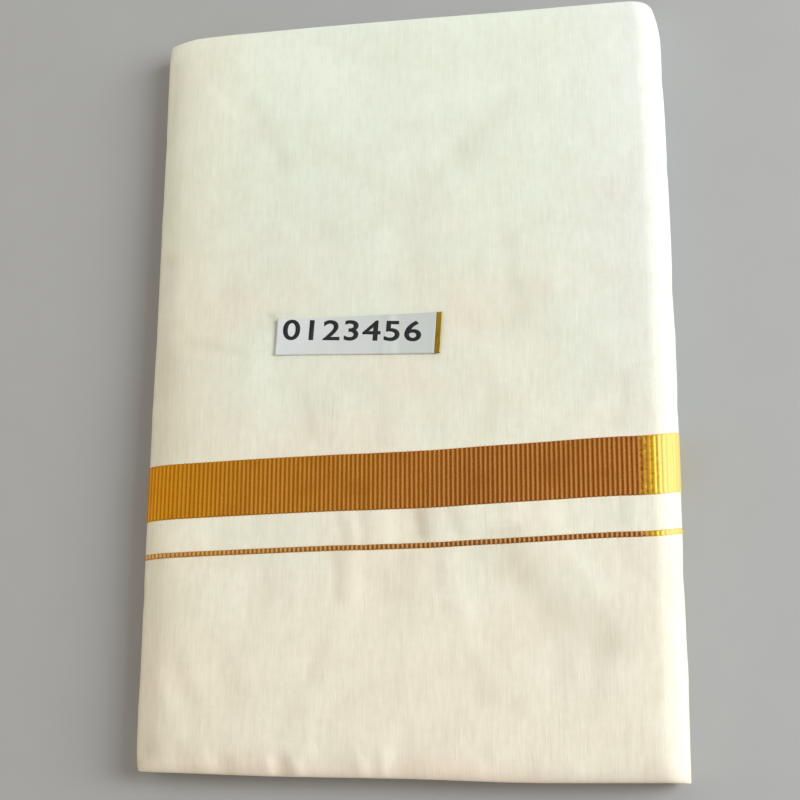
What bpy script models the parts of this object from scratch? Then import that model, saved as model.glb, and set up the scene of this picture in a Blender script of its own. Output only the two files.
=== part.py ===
"""Folded dhoti cloth: a long cotton loincloth folded into a flat rectangular pack.

The cloth is first folded across its width into a strip, and the strip's length is then
halved four times, so that sixteen strips lie on each other. The outermost strip is
built as walls that wrap the pack: from the lower lip on the left, along the underside,
round the rolled spine on the right and over the front to the upper lip on the left. A
woven metallic border band and a thin line run all the way round in it. The strips
inside are one solid, layered at its edges.
"""
import math

import bmesh
import bpy
import numpy as np

MM = 0.001

# Sizes of the pack
PACK_WIDTH = 241 * MM
HALF_LENGTH = 176 * MM
WALL = 1.2 * MM
GAP = 0.3 * MM

# The outer strip's rounded sides, as widths in from the pack's left or right edge
LOWER_LIP_SETBACK = 1.5 * MM
LOWER_LIP_DEPTH = 3.2 * MM
SPINE_DEPTH = 11 * MM
SHOULDER_WIDTH = 16 * MM
UPPER_TUCK = 6 * MM

# Woven border: places along the length, counted from the middle of the pack. Its ribs
# start a few arc steps up the spine, so that the underside stays plain.
BAND_FAR = -38.5 * MM
BAND_NEAR = -64.1 * MM
LINE_FAR = -79.0 * MM
LINE_NEAR = -81.7 * MM
RIB_PITCH = 2.05 * MM
RIB_HEIGHT = 0.3 * MM
PLAIN_SPINE_STEPS = 2
FINE_STEPS = 16

# Label: plan centre, size, turn in degrees, and the strip along its right end
LABEL_CENTRE = (-21.1 * MM, 16.9 * MM)
LABEL_SIZE = (75.6 * MM, 18.5 * MM)
LABEL_TURN = -3.2
LABEL_THICKNESS = 0.4 * MM
STRIP_WIDTH = 2.0 * MM

# Pack thickness in mm: it thins at both ends, and past the middle it has a layer less
THICKNESS_ROWS = (
    # along, thickness, spine shift
    (-176.0, 15.0, -2.0),
    (-174.5, 16.8, -2.0),
    (-171.0, 18.3, -1.9),
    (-165.0, 19.2, -1.8),
    (-155.0, 19.5, -1.6),
    (-20.0, 19.5, -0.2),
    (40.0, 18.0, 0.2),
    (160.0, 18.0, -0.2),
    (168.0, 17.6, -0.9),
    (173.0, 16.7, -1.8),
    (176.0, 15.2, -3.5),
)

# How far the two ends stand off square in mm, from the left side to the spine
END_SHIFT_ROWS = (
    # across, far end, near end
    (-120.5, 0.0, 2.8),
    (-104.5, 3.6, 1.6),
    (-60.0, 1.8, -0.2),
    (0.0, -1.4, -1.4),
    (60.0, -4.8, -3.2),
    (109.5, -8.5, -3.3),
    (120.5, -14.0, -3.6),
)

# Soft folds pressed in the front in mm: troughs are negative, ridges positive
FRONT_FOLD_ROWS = (
    # from x, from y, to x, to y, half width, height
    (-84, 142, -52, 98, 10, -0.50),
    (52, 132, 28, 98, 10, -0.45),
    (-110, 158, -90, 130, 8, 0.45),
    (-16, 150, -8, 62, 16, 0.30),
    (84, 108, 62, 58, 14, 0.30),
    (-104, 16, -78, 14, 7, -0.30),
    (50, -90, 66, -104, 7, -0.50),
    (-32, -92, -26, -112, 8, -0.35),
    (10, -96, 44, -112, 9, 0.35),
    (-104, -90, -92, -96, 7, 0.35),
    (-70, -140, -74, -164, 8, -0.30),
    (84, -118, 92, -136, 9, -0.35),
    (-99, -170, -101, -177, 5, -0.40),
    (-72, -168, -72, -178, 5, -0.50),
    (-64, -169, -63, -178, 5, 0.45),
    (-50, -166, -51, -178, 5, -0.50),
    (-36, -170, -35, -178, 6, 0.40),
    (34, -170, 36, -179, 8, -0.35),
    (70, -171, 68, -180, 7, 0.35),
)

# Left ends of the loose layers between the two lips: mm in from the pack's left edge,
# and height as a share of the space there
LOOSE_LAYER_ROWS = (
    # setback, height share
    (1.9, 0.03),
    (1.0, 0.12),
    (0.8, 0.25),
    (1.0, 0.38),
    (1.9, 0.47),
    (4.5, 0.50),
    (2.6, 0.53),
    (2.3, 0.62),
    (2.6, 0.71),
    (4.5, 0.75),
    (1.7, 0.79),
    (1.4, 0.87),
    (1.7, 0.95),
)

# Hidden layers' ends: a groove between two layers, and how far each layer stays back
GROOVE_DEPTH = 1.3 * MM
LAYER_SETBACKS_MM = (0.3, 0.7, 0.2, 0.9, 0.4, 0.8, 0.3)
ROWS_PER_LAYER = 3

COARSE_COLUMNS_MM = (-98, -60, 0, 60)
FRONT_COLUMN_STEP = 6 * MM
ARC_STEPS = 4
STATION_STEP = 11 * MM
EDGE_ROUNDING = 0.6 * MM

LEFT = -PACK_WIDTH / 2
RIGHT = PACK_WIDTH / 2


def thickness_at(along):
    """Thickness of the pack at a place along its length."""
    rows = np.array(THICKNESS_ROWS) * MM
    return float(np.interp(along, rows[:, 0], rows[:, 1]))


def placed(across, along, height):
    """A point of the square pack, moved to the pack's real, slightly skewed outline."""
    sides = np.array(THICKNESS_ROWS) * MM
    ends = np.array(END_SHIFT_ROWS) * MM
    far_shift, near_shift = (np.interp(across, ends[:, 0], ends[:, column]) for column in (1, 2))
    far_share = max(0.0, (along - BAND_FAR) / (HALF_LENGTH - BAND_FAR))
    near_share = max(0.0, (LINE_NEAR - along) / (HALF_LENGTH + LINE_NEAR))
    shift = far_share * far_shift + near_share * near_shift
    spine = np.interp(along, sides[:, 0], sides[:, 2]) * max(across, 0) / RIGHT
    return (across + float(spine), along + float(shift), height)


def front_relief(across, along):
    """Height of the soft folds at a plan point of the front."""
    point = np.array((across, along))
    height = 0.0
    for row in FRONT_FOLD_ROWS:
        start, end = np.array(row[0:2]) * MM, np.array(row[2:4]) * MM
        run = end - start
        share = np.clip(np.dot(point - start, run) / np.dot(run, run), 0, 1)
        distance = np.linalg.norm(point - start - share * run)
        height += row[5] * MM * math.exp(-(distance / (row[4] * MM)) ** 2)
    return height


def arc(centre, half_width, half_height, first, last, steps):
    """Points along part of an ellipse, its angles in degrees from +X up towards +Z."""
    angles = np.radians(np.linspace(first, last, steps + 1))
    return [(centre[0] + half_width * math.cos(angle), centre[1] + half_height * math.sin(angle))
            for angle in angles]


def wrap_outline(depth, thickness, columns, arc_steps):
    """Cross-section of the outer strip at a depth under its surface.

    It starts at the lower lip's tucked end, follows the underside, turns round the spine
    and comes back over the front to the upper lip's tucked end.
    """
    lip = (LEFT + LOWER_LIP_SETBACK + LOWER_LIP_DEPTH, thickness / 8)
    spine = (RIGHT - SPINE_DEPTH, thickness / 2)
    shoulder = (LEFT + SHOULDER_WIDTH, thickness * 3 / 4)
    tuck = (LEFT + UPPER_TUCK, thickness * 3 / 4)
    quarter = thickness / 4
    outline = arc(lip, LOWER_LIP_DEPTH - depth, lip[1] - depth, 90, 270, arc_steps)
    outline += [(column, depth) for column in columns]
    outline += arc(spine, SPINE_DEPTH - depth, spine[1] - depth, -90, 90, 2 * arc_steps)
    outline += [(column, thickness - depth) for column in reversed(columns)]
    outline += arc(shoulder, SHOULDER_WIDTH - depth, quarter - depth, 90, 180, arc_steps)
    outline += arc(tuck, UPPER_TUCK - depth, quarter - depth, 180, 270, arc_steps)[1:]
    return outline


def spread(points, count):
    """Points evenly along the straight runs between the given ones."""
    given = np.arange(len(points))
    places = np.linspace(0, len(points) - 1, count)
    across, heights = zip(*points)
    return list(zip(np.interp(places, given, across), np.interp(places, given, heights)))


def coarse_columns():
    """The few columns that the inside of the walls shares with the hidden layers."""
    return [column * MM for column in COARSE_COLUMNS_MM]


def inner_points(along, depth=WALL):
    """Plain inside of a wall at one place along the length."""
    outline = wrap_outline(depth, thickness_at(along), coarse_columns(), ARC_STEPS)
    return [placed(across, along, height) for across, height in outline]


def plain_points(along, depth=0.0):
    """Outside of a plain stretch of cloth, with the soft folds in its front."""
    thickness = thickness_at(along)
    first, last = LEFT + SHOULDER_WIDTH, RIGHT - SPINE_DEPTH
    count = round((last - first) / FRONT_COLUMN_STEP)
    columns = list(np.linspace(first, last, count + 1)[1:-1])
    points = []
    for across, height in wrap_outline(depth, thickness, columns, ARC_STEPS):
        on_front = height > thickness - depth - GAP and first < across < last
        relief = front_relief(across, along) if on_front else 0.0
        points.append(placed(across, along, height + relief))
    return points


def ribbed_points(along):
    """Outside of a woven metallic stretch: raised ribs side by side, but a plain underside."""
    thickness = thickness_at(along)
    fine_steps = FINE_STEPS * ARC_STEPS
    fine = np.array(wrap_outline(0.0, thickness, [], fine_steps))
    travelled = np.concatenate(([0.0], np.cumsum(np.linalg.norm(np.diff(fine, axis=0), axis=1))))
    start = travelled[fine_steps + 1 + FINE_STEPS * PLAIN_SPINE_STEPS]
    end = travelled[-1]
    ribs = round((end - start) / RIB_PITCH)
    plain_count = ARC_STEPS + 1 + len(COARSE_COLUMNS_MM) + PLAIN_SPINE_STEPS
    outline = wrap_outline(0.0, thickness, coarse_columns(), ARC_STEPS)[:plain_count]
    for index in range(2 * ribs + 1):
        place = start + (end - start) * index / (2 * ribs)
        behind, here, ahead = (np.array([np.interp(spot, travelled, fine[:, axis]) for axis in (0, 1)])
                               for spot in (place - GAP, place, place + GAP))
        run = (ahead - behind) / np.linalg.norm(ahead - behind)
        outline.append(tuple(here + np.array((run[1], -run[0])) * RIB_HEIGHT * (index % 2)))
    return [placed(across, along, height) for across, height in outline]


def close_end(shape, outer, inner):
    """Triangles across a wall's end, between its outer and inner points."""
    shares = []
    for points in (outer, inner):
        spans = [(b.co - a.co).length for a, b in zip(points, points[1:])]
        shares.append(np.concatenate(([0.0], np.cumsum(spans))) / sum(spans))
    a = b = 0
    while a < len(outer) - 1 or b < len(inner) - 1:
        inner_done = b == len(inner) - 1
        if inner_done or (a < len(outer) - 1 and shares[0][a + 1] <= shares[1][b + 1]):
            shape.faces.new((outer[a], outer[a + 1], inner[b]))
            a += 1
        else:
            shape.faces.new((outer[a], inner[b + 1], inner[b]))
            b += 1


def loft(shape, rings):
    """Quads between closed rings that have the same number of points."""
    for ring, following in zip(rings, rings[1:]):
        for index in range(len(ring)):
            after = (index + 1) % len(ring)
            shape.faces.new((ring[index], ring[after], following[after], following[index]))


def new_part(name, shape, material):
    """Turns a bmesh into the named object, in the pack's collection."""
    bmesh.ops.recalc_face_normals(shape, faces=shape.faces)
    mesh = bpy.data.meshes.new(name)
    shape.to_mesh(mesh)
    shape.free()
    mesh.materials.append(material)
    part = bpy.data.objects.new(name, mesh)
    bpy.data.collections["folded dhoti cloth"].objects.link(part)
    return part


def wall(name, material, sections):
    """A closed wall through sections, each a pair of outer and inner points."""
    shape = bmesh.new()
    rows = [([shape.verts.new(point) for point in outer], [shape.verts.new(point) for point in inner])
            for outer, inner in sections]
    loft(shape, [outer + inner[::-1] for outer, inner in rows])
    for outer, inner in (rows[0], rows[-1]):
        close_end(shape, outer, inner)
    return new_part(name, shape, material)


def stations(start, end):
    """Places along the length for a wall's sections, with every row where thickness bends."""
    count = max(1, round((end - start) / STATION_STEP))
    even = list(np.linspace(start, end, count + 1))
    bends = [row[0] * MM for row in THICKNESS_ROWS if start < row[0] * MM < end]
    kept = [place for place in even[1:-1] if all(abs(place - bend) > STATION_STEP / 3 for bend in bends)]
    return sorted([start, end] + kept + bends)


def plain_cloth(name, material, near, far):
    """A plain stretch of the outer strip, its lips rounded where it ends the pack."""
    sections = [(plain_points(along), inner_points(along)) for along in stations(near, far)]
    for index, end in ((0, near), (-1, far)):
        if abs(end) < HALF_LENGTH:
            continue
        inset = end - math.copysign(EDGE_ROUNDING, end)
        rounded = (plain_points(end, WALL * 0.3), inner_points(end, WALL * 0.7))
        sections[index] = rounded
        full = (plain_points(inset), inner_points(inset))
        sections.insert(1 if index == 0 else len(sections) - 1, full)
    return wall(name, material, sections)


def layer_edges(thickness):
    """Left ends of the hidden layers: up from the underside, and down from the top."""
    depth = WALL + GAP
    lip = (LEFT + LOWER_LIP_SETBACK + LOWER_LIP_DEPTH, thickness / 8)
    rising = arc(lip, LOWER_LIP_DEPTH - depth, lip[1] - depth, 270, 90, 4)
    behind_lip = lip[0] + 2 * GAP
    rising += [(behind_lip, thickness / 4 - depth + GAP / 3), (behind_lip, thickness / 4 + GAP)]
    bottom, top = thickness / 4 + GAP, thickness / 2 - GAP
    rising += [(LEFT + setback * MM, bottom + share * (top - bottom)) for setback, share in LOOSE_LAYER_ROWS]
    behind_tuck = LEFT + UPPER_TUCK + GAP
    rising.append((behind_tuck, top))
    middle = (behind_tuck, thickness / 2 + depth / 2)
    inside_lip = wrap_outline(depth, thickness, [], ARC_STEPS)[-2 * ARC_STEPS - 1:]
    falling = spread(inside_lip, len(rising) - 1)
    falling.append((behind_tuck, thickness / 2 + depth - GAP / 3))
    return rising + [middle], falling + [middle]


def layer_row(rising, falling, index):
    """One line round the hidden layers' end, nested towards the middle of the spine."""
    low, high = rising[index], falling[index]
    share = (low[1] - rising[0][1]) / (rising[-1][1] - rising[0][1])
    spine = (RIGHT - SPINE_DEPTH, (low[1] + high[1]) / 2)
    half_width = (SPINE_DEPTH - WALL - GAP) * (1 - share)
    columns = coarse_columns()
    row = [low] + [(column, low[1]) for column in columns]
    row += arc(spine, half_width, (high[1] - low[1]) / 2, -90, 90, 2 * ARC_STEPS)
    return row + [(column, high[1]) for column in reversed(columns)] + [high]


def folded_layers(material):
    """The strips inside the pack as one solid, with a rounded edge for each at the ends."""
    shape = bmesh.new()
    setbacks = np.array(LAYER_SETBACKS_MM) * MM
    last_row = ROWS_PER_LAYER * len(setbacks)
    rings = []
    places = [row[0] * MM for row in THICKNESS_ROWS if abs(row[0] * MM) < HALF_LENGTH - 2 * GROOVE_DEPTH]
    for end in (-1, 1):
        grid = []
        for index in range(last_row + 1):
            groove = index % ROWS_PER_LAYER == 0
            setback = GROOVE_DEPTH if groove else setbacks[index // ROWS_PER_LAYER]
            along = end * (HALF_LENGTH - setback)
            outline = layer_row(*layer_edges(thickness_at(along)), index)
            grid.append([shape.verts.new(placed(across, along, height)) for across, height in outline])
        for row, following in zip(grid, grid[1:]):
            for a in range(len(row) - 1):
                shape.faces.new((row[a], row[a + 1], following[a + 1], following[a]))
        left_side = [row[-1] for row in grid[1:]] + [row[0] for row in grid[-2:0:-1]]
        rings.append(grid[0] + left_side)
    between = []
    for along in places:
        rising, falling = layer_edges(thickness_at(along))
        outline = layer_row(rising, falling, 0) + falling[1:] + rising[-2:0:-1]
        between.append([shape.verts.new(placed(across, along, height)) for across, height in outline])
    loft(shape, [rings[0]] + between + [rings[1]])
    bmesh.ops.remove_doubles(shape, verts=shape.verts, dist=GAP / 300)
    return new_part("folded_layers", shape, material)


def label_piece(name, material, start, end):
    """A flat piece of the label between two places along it, lying just over the front."""
    shape = bmesh.new()
    bmesh.ops.create_grid(shape, x_segments=6, y_segments=2, size=0.5)
    turn = math.radians(LABEL_TURN)
    for vert in shape.verts:
        along_label = start + (vert.co.x + 0.5) * (end - start) - LABEL_SIZE[0] / 2
        across_label = vert.co.y * LABEL_SIZE[1]
        across = LABEL_CENTRE[0] + along_label * math.cos(turn) - across_label * math.sin(turn)
        along = LABEL_CENTRE[1] + along_label * math.sin(turn) + across_label * math.cos(turn)
        height = thickness_at(along) + max(front_relief(across, along), 0.0) + GAP
        vert.co = placed(across, along, height)
    piece = new_part(name, shape, material)
    solid = piece.modifiers.new("paper", "SOLIDIFY")
    solid.thickness = LABEL_THICKNESS
    solid.offset = 1.0
    return piece


def finish(name, colour, roughness, metallic=0.0):
    """A plain finish for one sub-part."""
    material = bpy.data.materials.new(name)
    material.use_nodes = True
    shader = material.node_tree.nodes["Principled BSDF"]
    shader.inputs["Base Color"].default_value = (*colour, 1.0)
    shader.inputs["Roughness"].default_value = roughness
    shader.inputs["Metallic"].default_value = metallic
    return material


def clear_scene():
    """Removes what the file opened with and makes the pack's collection."""
    for thing in list(bpy.data.objects):
        bpy.data.objects.remove(thing)
    collection = bpy.data.collections.new("folded dhoti cloth")
    bpy.context.scene.collection.children.link(collection)


def build_pack():
    """Makes every sub-part of the folded cloth."""
    clear_scene()
    seam = GAP / 2
    plain_cloth("upper_cloth", finish("upper cotton", (0.78, 0.76, 0.62), 0.85), BAND_FAR + seam, HALF_LENGTH)
    plain_cloth("middle_cloth", finish("middle cotton", (0.76, 0.72, 0.57), 0.85), LINE_FAR + seam, BAND_NEAR - seam)
    plain_cloth("lower_cloth", finish("lower cotton", (0.77, 0.72, 0.58), 0.85), -HALF_LENGTH, LINE_NEAR - seam)
    for name, near, far in (("zari_band", BAND_NEAR, BAND_FAR), ("zari_line", LINE_NEAR, LINE_FAR)):
        sections = [(ribbed_points(along), inner_points(along)) for along in (near + seam, far - seam)]
        wall(name, finish(name.replace("_", " "), (0.46, 0.25, 0.04), 0.35, 0.9), sections)
    folded_layers(finish("inner cotton", (0.72, 0.68, 0.54), 0.9))
    strip_start = LABEL_SIZE[0] + GAP
    label_piece("size_label", finish("label paper", (0.70, 0.75, 0.77), 0.6), 0.0, LABEL_SIZE[0])
    strip_end = strip_start + STRIP_WIDTH
    label_piece("label_strip", finish("label foil", (0.32, 0.22, 0.02), 0.35, 0.8), strip_start, strip_end)


build_pack()
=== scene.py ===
"""Folded dhoti cloth: the look of the cotton, the woven metallic border and the label."""
import math

import bmesh
import bpy
import numpy as np
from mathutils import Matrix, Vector


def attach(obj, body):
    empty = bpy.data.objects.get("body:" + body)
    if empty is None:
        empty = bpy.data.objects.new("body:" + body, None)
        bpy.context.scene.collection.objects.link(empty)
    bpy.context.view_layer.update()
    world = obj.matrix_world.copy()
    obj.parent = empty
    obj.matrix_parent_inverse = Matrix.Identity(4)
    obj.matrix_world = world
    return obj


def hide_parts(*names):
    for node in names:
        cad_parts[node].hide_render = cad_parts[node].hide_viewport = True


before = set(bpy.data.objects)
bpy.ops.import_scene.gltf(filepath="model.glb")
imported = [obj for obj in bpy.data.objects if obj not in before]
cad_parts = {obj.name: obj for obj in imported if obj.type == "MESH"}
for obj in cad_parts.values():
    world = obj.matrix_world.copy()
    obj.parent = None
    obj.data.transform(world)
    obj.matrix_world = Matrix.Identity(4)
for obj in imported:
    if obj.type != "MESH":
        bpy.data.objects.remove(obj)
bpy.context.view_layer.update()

MM = 0.001

# The pack's sizes, as in the part's source
PACK_WIDTH = 241 * MM
HALF_LENGTH = 176 * MM
WALL = 1.2 * MM
GAP = 0.3 * MM
LOWER_LIP_SETBACK = 1.5 * MM
LOWER_LIP_DEPTH = 3.2 * MM
SPINE_DEPTH = 11 * MM
SHOULDER_WIDTH = 16 * MM
UPPER_TUCK = 6 * MM
BAND_FAR = -38.5 * MM
BAND_NEAR = -64.1 * MM
LINE_FAR = -79.0 * MM
LINE_NEAR = -81.7 * MM
LABEL_CENTRE = (-21.1 * MM, 16.9 * MM)
LABEL_SIZE = (75.6 * MM, 18.5 * MM)
LABEL_TURN = math.radians(-3.2)
LABEL_TAPER = 0.0715
LABEL_TILT = 0.7 * MM
LABEL_CREASE = -2.3 * MM
STRIP_WIDTH = 2.3 * MM
LABEL_PAPER_THICKNESS = 0.2 * MM
LEFT = -PACK_WIDTH / 2
RIGHT = PACK_WIDTH / 2
LIP_CENTRE = LEFT + LOWER_LIP_SETBACK + LOWER_LIP_DEPTH
FULL_THICKNESS = 19.5 * MM

THICKNESS_ROWS = np.array((
    # along, thickness, spine shift
    (-176, 15, -2), (-174.5, 16.8, -2), (-171, 18.3, -1.9),
    (-165, 19.2, -1.8), (-155, 19.5, -1.6), (-20, 19.5, -0.2),
    (40, 18, 0.2), (160, 18, -0.2), (168, 17.6, -0.9),
    (173, 16.7, -1.8), (176, 15.2, -3.5),
)) * MM

END_SHIFT_ROWS = np.array((
    # across, far end, near end
    (-120.5, 1.9, 2), (-114.5, 2.3, 1.7), (-104.5, 3.3, 1.4),
    (-60, 1.8, -0.2), (0, -1.4, -1.4), (60, -4.8, -3.2),
    (109.5, -7.3, -3.3), (116.5, -7.9, -3.5), (118.8, -8.6, -3.55),
    (120.5, -13.5, -3.6),
)) * MM

# Soft folds in the front in mm: troughs are negative, ridges positive. Shade is painted shade that darkens
# the cloth's colour along each fold, and painted light where it is below 0. Some rows are only painted light
# and shade, such as the shadow at the label's left corner and the lit rim along the left edge
FRONT_FOLD_ROWS = (
    # from x, from y, to x, to y, half width, height, painted shade
    (-119.5, 165, -119, 0, 1.8, 0, -0.16), (-119, 0, -119, -168, 1.8, 0, -0.14),
    (-106, 158, -105, -30, 8.5, -0.05, 0.088), (-68, 158, -38, 148, 16, 0.05, -0.085),
    (-105, -86, -105, -165, 8.5, -0.05, 0.075), (-98, -154, -84, -158, 8, -0.05, 0.04),
    (-115, 162, -114, 60, 4.4, -0.1, 0.12), (-114, 60, -113, -38, 4.4, -0.1, 0.12),
    (-113, -84, -113, -166, 4.6, -0.1, 0.11), (-62, 29, -59.5, 26.5, 1.6, -0.1, 0.3),
    (-107, 12, -105, -32, 8.5, -0.1, 0.095), (9.5, -65, 9, -76, 4.2, -0.2, 0.27),
    (2, -12, 18, -22, 11, -0.05, 0.04), (60, -98, 74, -124, 11, -0.1, 0.06),
    (70, -111, 92, -124, 11, -0.05, 0.065), (-75, 136, -57, 103, 4.6, -0.24, 0.066),
    (-57, 103, -37, 68, 4.4, -0.12, 0.032), (-98, 147, -88, 133, 3.8, 0.22, -0.045),
    (-83, 161, -69, 139, 3.4, 0.15, -0.02), (52, 129, 28, 104, 6.2, -0.28, 0.08),
    (28, 104, 14, 89, 6, -0.16, 0.048), (20, 112, 10, 98, 3.2, 0.12, -0.025),
    (5, 124, 4, 73, 5.1, -0.12, 0.028), (5, 60, 6, 48, 2.8, -0.12, 0.045),
    (50, 55, 52, 35, 4.7, -0.25, 0.06), (51, 34, 54, 23, 5.6, -0.35, 0.085),
    (54, 23, 48, 13, 3.9, -0.1, 0.04), (62, 34, 70, 2, 3.9, -0.12, 0.035),
    (36, 53, 34, 46, 3.2, -0.1, 0.045), (61, 94, 70, 87, 6, -0.1, 0.03),
    (45, 75, 48, 56, 4.7, -0.1, 0.03), (-10, 63, -12, 36, 6, 0.3, -0.05),
    (-38, 71, -26, 56, 4.6, -0.12, 0.035), (-103, 20, -78, 12, 2.4, -0.25, 0.07),
    (-110, 14, -89, 10, 2.4, 0.2, -0.035), (-66, 18, -68, 3, 6.2, 0.25, -0.05),
    (-70, 1, -72, -32, 9.6, 0.35, -0.05), (-54, -25, -57, -33, 4.3, 0.1, -0.03),
    (24, 13, 46, -1, 5.6, 0.25, -0.045), (-46, -10, -42, -29, 3.7, -0.3, 0.075),
    (-25, -15, -26, -30, 4.6, 0.35, -0.07), (-35, -11, -35, -16, 2.3, -0.1, 0.045),
    (-9, -14, -10, -31, 3.7, -0.3, 0.08), (4, -21, 3, -31, 4.6, 0.2, -0.035),
    (25, -21, 25, -32, 5.6, 0.25, -0.045), (42, -13, 39, -31, 4.3, -0.3, 0.075),
    (60, -25, 59, -32, 5.2, 0.2, -0.03), (85, -23, 81, -31, 5.2, 0.25, -0.045),
    (100, -11, 96, -32, 3.4, -0.3, 0.08), (-94, -67, -92, -76, 6.7, 0.2, -0.06),
    (-74, -67, -72, -75, 6.2, 0.18, -0.05), (-56, -68, -56, -76, 2.4, -0.15, 0.055),
    (-46, -67, -46, -74, 4.3, 0.15, -0.035), (-28, -66, -25, -78, 2.3, -0.35, 0.11),
    (-23, -66, -19, -75, 1.9, 0.22, -0.07), (-17, -66, -16, -79, 2.3, -0.3, 0.1),
    (-6, -66, -6, -76, 4.2, 0.4, -0.11), (3, -72, 5, -77, 2.8, 0.2, -0.05),
    (8, -66, 11, -77, 2.3, -0.35, 0.11), (16, -69, 18, -75, 2.3, 0.15, -0.025),
    (22, -65, 26, -75, 2.8, -0.35, 0.105), (31, -65, 33, -74, 3.7, 0.22, -0.06),
    (37, -77, 53, -76, 2.6, -0.25, 0.08), (50, -64, 53, -71, 5.2, 0.35, -0.09),
    (64, -64, 67, -74, 5.2, 0.35, -0.09), (80, -67, 81, -74, 4.3, 0.2, -0.055),
    (96, -66, 97, -76, 3, -0.3, 0.08), (-101, -90, -74, -92, 3.8, 0.2, -0.055),
    (-62, -85, -61, -102, 3.8, -0.18, 0.04), (-47, -85, -46, -99, 4.3, 0.18, -0.035),
    (-29, -83, -28, -100, 3.2, -0.4, 0.115), (-20, -86, -21, -101, 3.7, 0.35, -0.09),
    (-21, -101, -25, -122, 6, 0.25, -0.045), (-9, -89, -7, -100, 3.7, -0.12, 0.035),
    (2, -87, 0, -100, 5.6, -0.3, 0.085), (17, -84, 16, -95, 3.7, -0.25, 0.07),
    (21, -87, 29, -109, 4.2, 0.3, -0.065), (29, -109, 32, -124, 4.2, 0.2, -0.05),
    (35, -86, 41, -93, 5.2, -0.25, 0.07), (45, -82, 52, -95, 6.2, -0.6, 0.15),
    (58, -102, 73, -113, 7.5, -0.22, 0.045), (86, -114, 89, -124, 6.5, -0.35, 0.08),
    (72, -84, 87, -103, 4.3, 0.3, -0.06), (96, -84, 99, -93, 3.9, -0.25, 0.065),
    (87, -125, 81, -147, 5.2, -0.3, 0.065), (68, -132, 69, -147, 4.7, -0.18, 0.045),
    (32, -130, 35, -139, 5.6, -0.22, 0.055), (36, -143, 50, -147, 4.7, -0.22, 0.055),
    (73, -122, 77, -132, 3.9, 0.15, -0.03), (-78, -129, -76, -146, 6.2, -0.25, 0.055),
    (-102, -126, -94, -146, 3.8, -0.25, 0.06), (-109, -135, -99, -159, 3.8, 0.3, -0.06),
    (-76, -99, -75, -114, 4.8, 0.2, -0.04), (-37, -124, -41, -138, 3.7, -0.2, 0.045),
    (-47, -147, -49, -156, 4.8, -0.18, 0.045), (-60, -150, -60, -164, 2.6, 0.06, -0.012),
    (-38, -157, -40, -165, 3.2, 0.15, -0.035), (-5, -157, -5, -167, 3.2, 0.15, -0.035),
    (-4, -125, -3, -141, 4.2, -0.1, 0.02), (-50, -111, -48, -128, 8, 0.15, -0.055),
    (-69, -168, -68, -174, 6.2, -0.2, 0.03), (-58, -170, -58, -176, 2.4, 0.32, -0.06),
    (-52, -170, -51, -177, 3.4, -0.42, 0.11), (-45, -171, -44, -177, 2.4, 0.36, -0.07),
    (-28, -171, -27, -176, 6.5, -0.2, 0.03), (-17, -169, -16, -176, 2.8, 0.25, -0.04),
    (-7, -167, -7, -176, 2.3, 0.35, -0.07), (-97, -168, -97, -173, 4.8, -0.25, 0.03),
    (-86, -170, -86, -175, 3.4, 0.2, -0.04), (-77, -171, -76, -177, 4.2, -0.25, 0.1),
    (2, -172, 2, -177, 5.6, -0.18, 0.03), (34, -172, 34, -177, 3.9, 0.18, -0.03),
    (55, -173, 55, -178, 6, -0.18, 0.03), (75, -171, 74, -178, 3.9, 0.2, -0.03),
    (103, -174, 102, -179, 6, -0.18, 0.03),
)

# The same on the rolled spine and the lips. Path is the way round the pack in mm, from the
# lower lip's tucked end along the underside and over the spine and the front to the upper lip
SIDE_FOLD_ROWS = (
    # from path, from y, to path, to y, half width, height, painted shade
    (240, 148, 264, 128, 5, -0.3, 0.05), (246, 96, 262, 88, 4, -0.22, 0.04),
    (238, 44, 256, 24, 6, -0.28, 0.04), (250, 8, 266, 2, 4, 0.2, -0.03),
    (240, -22, 262, -30, 5, -0.22, 0.045), (244, -92, 266, -112, 5, -0.32, 0.055),
    (248, -136, 262, -130, 6, 0.22, -0.03), (486, 132, 503, 118, 4, -0.25, 0.045),
    (490, 76, 502, 84, 5, 0.2, -0.03), (484, 30, 500, 20, 4, -0.22, 0.04),
    (488, -8, 503, -16, 5, 0.18, -0.025), (484, -108, 502, -96, 4, -0.26, 0.045),
    (490, -140, 500, -150, 5, 0.2, -0.03),
)

# Left ends of the loose layers between the lips
LOOSE_LAYERS = (
    # from and to as shares of the space, setback in mm, cloth edges that show
    (0.0, 0.5, 0.8, 2),
    (0.5, 0.75, 2.3, 4),
    (0.75, 1.0, 1.4, 4),
)
LOOSE_ROUNDING = 2.2 * MM
LOOSE_RIPPLE = 0.16 * MM
GAP_DEPTH = 4.5 * MM

# Hidden strips: how far each stays back from the pack's end in mm, beyond what all share, how
# deep its two loops and the grooves between strips are, and where it has points over its height
STRIP_SETBACKS = (0.3, 0.7, 0.2, 0.9, 0.4, 0.8, 0.3)
SHARED_SETBACK = 0.5 * MM
NEAR_END_SETBACK = 0.9 * MM
STRIP_LOOP = 0.42 * MM
STRIP_GROOVE = 2.4 * MM
GROOVE_WIDTH_SHARE = 0.03
LOOP_SHARES = (0.0, 0.03, 0.09, 0.2, 0.32, 0.42, 0.48, 0.54, 0.62, 0.74, 0.86, 0.94)

RIB_PITCH = 2.05 * MM
RIB_HEIGHT = 0.22 * MM
RIB_COLUMNS = 8
RIB_SHARPNESS = 1.3
RIB_EDGE_STEP = 0.15 * MM
RIBS_START_STEPS = 8

# How firmly the front's folds are pressed in: metres along, factor
FOLD_FIRMNESS = np.array(((-0.168, 1.6), (-0.158, 0.8), (-0.088, 0.8), (-0.05, 0.66)))

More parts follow.
